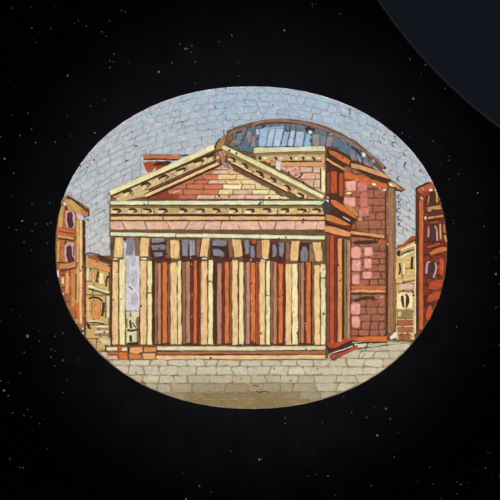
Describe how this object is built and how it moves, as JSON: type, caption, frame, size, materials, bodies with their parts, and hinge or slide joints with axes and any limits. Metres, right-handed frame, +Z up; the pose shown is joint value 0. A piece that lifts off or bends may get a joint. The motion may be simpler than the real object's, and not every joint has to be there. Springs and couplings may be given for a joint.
{
  "type": "mosaic panel",
  "caption": "Flat slab of polished black stone with one incurved corner and an oval glass mosaic of a domed temple and houses set flush in its face.",
  "frame": {"origin": "on the flat back of the slab, behind the middle of the oval", "axes": "+X to the right across the picture, +Y out of the back, +Z up the picture; the polished face looks along -Y"},
  "size_m": [0.063, 0.008, 0.063],
  "materials": {
    "black_stone": "polished, with fine scratches",
    "mastic": "ground flush, matte",
    "cream_glass": "opaque drawn glass, ground flush",
    "bracket_glass": "opaque drawn glass, ground flush",
    "orange_glass": "opaque drawn glass, ground flush",
    "red_glass": "opaque drawn glass, ground flush",
    "pink_glass": "opaque cut glass, ground flush",
    "column_glass": "opaque drawn glass, ground flush",
    "bay_glass": "opaque drawn glass, ground flush",
    "mauve_glass": "opaque cut glass, ground flush",
    "blue_glass": "opaque cut glass, ground flush",
    "brown_glass": "opaque drawn glass, ground flush",
    "house_glass": "opaque cut and drawn glass, ground flush",
    "paving_glass": "opaque cut glass, ground flush",
    "sky_glass": "opaque cut glass, ground flush"
  },
  "bodies": {
    "root": {"stone_slab": "black_stone", "mastic_bed": "mastic", "cornice": "cream_glass", "architrave": "cream_glass", "rake_rod_left": "cream_glass", "rake_rod_right": "cream_glass", "attic_cornice": "cream_glass", "upper_step": "cream_glass", "drum_cornice": "cream_glass", "bracket_course": "bracket_glass", "rake_brackets_left": "bracket_glass", "rake_brackets_right": "bracket_glass", "apex_stone": "bracket_glass", "orange_fillet": "orange_glass", "rake_fillet_left": "orange_glass", "rake_fillet_right": "orange_glass", "flank_entablature": "orange_glass", "flank_pier": "orange_glass", "corner_pier": "orange_glass", "roof_edge": "orange_glass", "lower_step": "orange_glass", "drum_step": "orange_glass", "step_riser": "orange_glass", "flank_upper_step": "red_glass", "flank_lower_step": "red_glass", "roof_behind": "red_glass", "right_tower": "red_glass", "frieze": "pink_glass", "gable_field": "pink_glass", "attic_wall": "pink_glass", "drum_upper_wall": "pink_glass", "drum_lower_wall": "pink_glass", "column_1": "column_glass", "column_2": "column_glass", "column_3": "column_glass", "column_4": "column_glass", "column_5": "column_glass", "column_6": "column_glass", "column_7": "column_glass", "column_8": "column_glass", "bay_2": "bay_glass", "bay_3": "bay_glass", "bay_4": "bay_glass", "bay_5": "bay_glass", "bay_6": "bay_glass", "bay_7": "bay_glass", "drum_shaded_edge": "mauve_glass", "dome": "blue_glass", "dome_rim": "brown_glass", "left_tower": "house_glass", "left_house": "house_glass", "right_house": "house_glass", "far_house": "house_glass", "paving": "paving_glass", "sky": "sky_glass", "sky_between_columns": "sky_glass"}
  },
  "joints": []
}
